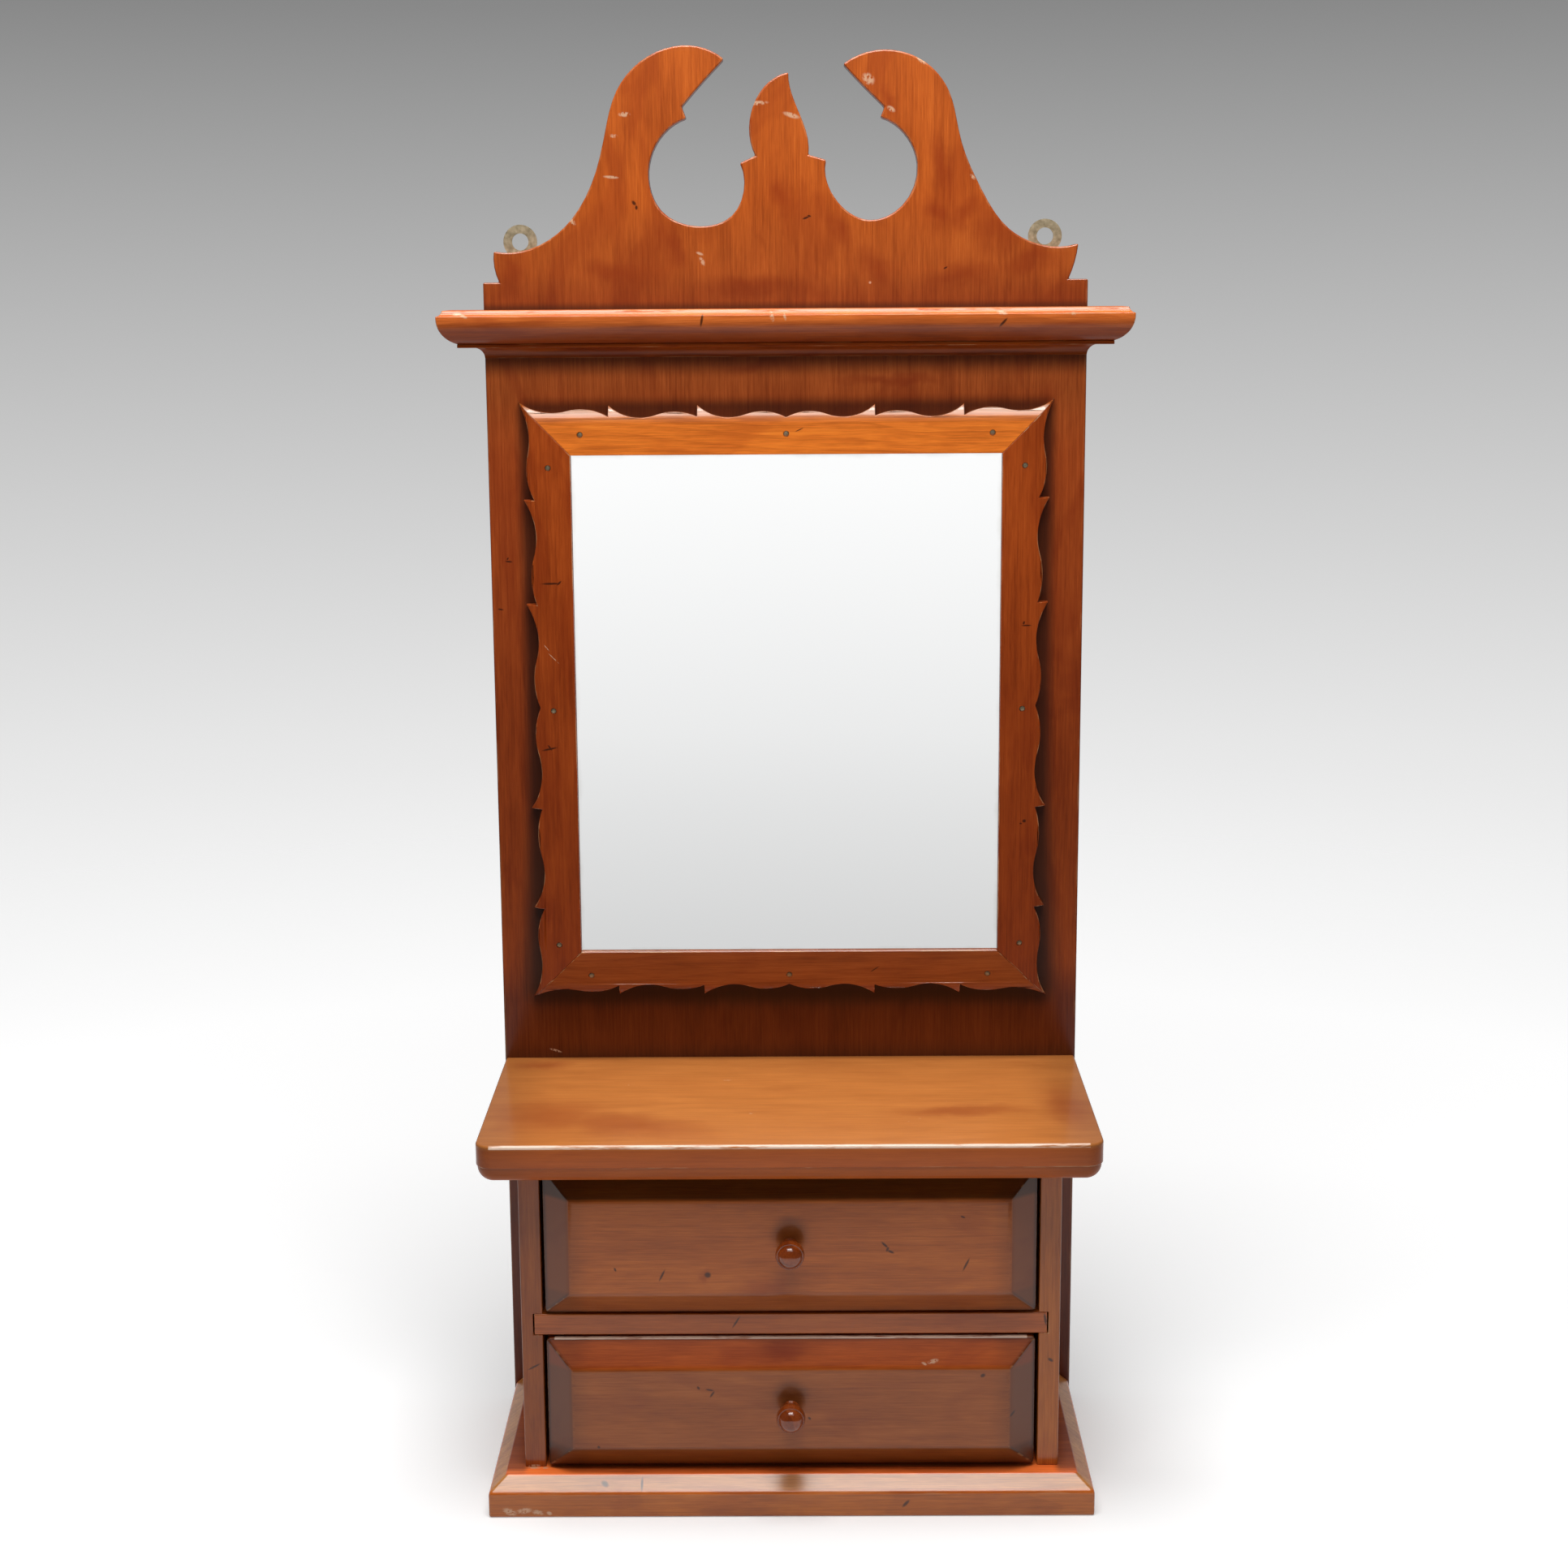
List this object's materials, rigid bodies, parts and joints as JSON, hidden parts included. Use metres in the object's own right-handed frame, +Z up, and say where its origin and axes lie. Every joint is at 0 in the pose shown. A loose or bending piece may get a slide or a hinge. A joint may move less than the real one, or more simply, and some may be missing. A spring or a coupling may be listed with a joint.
{
  "type": "shaving mirror with drawers",
  "caption": "Wall shaving mirror in stained pine: scroll crest, cornice, scalloped frame, shelf and a case of bevelled drawers with turned knobs.",
  "frame": {"origin": "centre of the footprint (base depth plus back board) on the underside, which rests on a surface", "axes": "+X to the right as seen from the front, +Y back to the wall, the drawers open along -Y, +Z up"},
  "size_m": [0.3768, 0.1671, 0.7803],
  "materials": {
    "stained_pine": "gloss varnish over orange-brown stain, grain along X, small dents",
    "stained_pine_upright": "gloss varnish over orange-brown stain, grain upright, small dents",
    "knob_wood": "gloss varnish, turned",
    "drawer_wood": "bare, planed",
    "drawer_bottom_board": "bare thin board",
    "mirror_glass": "silvered glass",
    "backing_card": "matt card",
    "pin_metal": "dull",
    "hanger_brass": "tarnished",
    "screw_steel": "dull"
  },
  "bodies": {
    "case": {"back_board": "stained_pine_upright", "cornice_board": "stained_pine", "cornice_cove_front": "stained_pine", "cornice_cove_left": "stained_pine", "cornice_cove_right": "stained_pine", "frame_top": "stained_pine", "frame_bottom": "stained_pine", "frame_left": "stained_pine_upright", "frame_right": "stained_pine_upright", "frame_pins": "pin_metal", "mirror_glass": "mirror_glass", "mirror_backing_card": "backing_card", "shelf_board": "stained_pine", "case_left_side": "stained_pine_upright", "case_right_side": "stained_pine_upright", "divider_board": "stained_pine", "base_board": "stained_pine", "hanger_left": "hanger_brass", "hanger_right": "hanger_brass", "hanger_screws": "screw_steel", "back_screws": "screw_steel", "base_screws": "screw_steel"},
    "upper_drawer": {"upper_drawer_front": "stained_pine", "upper_drawer_left_side": "drawer_wood", "upper_drawer_right_side": "drawer_wood", "upper_drawer_back": "drawer_wood", "upper_drawer_bottom": "drawer_bottom_board", "upper_drawer_knob": "knob_wood", "upper_drawer_knob_screw": "screw_steel", "upper_drawer_nails": "pin_metal"},
    "lower_drawer": {"lower_drawer_front": "stained_pine", "lower_drawer_left_side": "drawer_wood", "lower_drawer_right_side": "drawer_wood", "lower_drawer_back": "drawer_wood", "lower_drawer_bottom": "drawer_bottom_board", "lower_drawer_knob": "knob_wood", "lower_drawer_knob_screw": "screw_steel", "lower_drawer_nails": "pin_metal"}
  },
  "joints": [
    {"name": "upper_drawer_slide", "type": "slide", "parent": "case", "child": "upper_drawer", "axis": [0, -1, 0], "range_m": [0, 0.095]},
    {"name": "lower_drawer_slide", "type": "slide", "parent": "case", "child": "lower_drawer", "axis": [0, -1, 0], "range_m": [0, 0.095]}
  ]
}
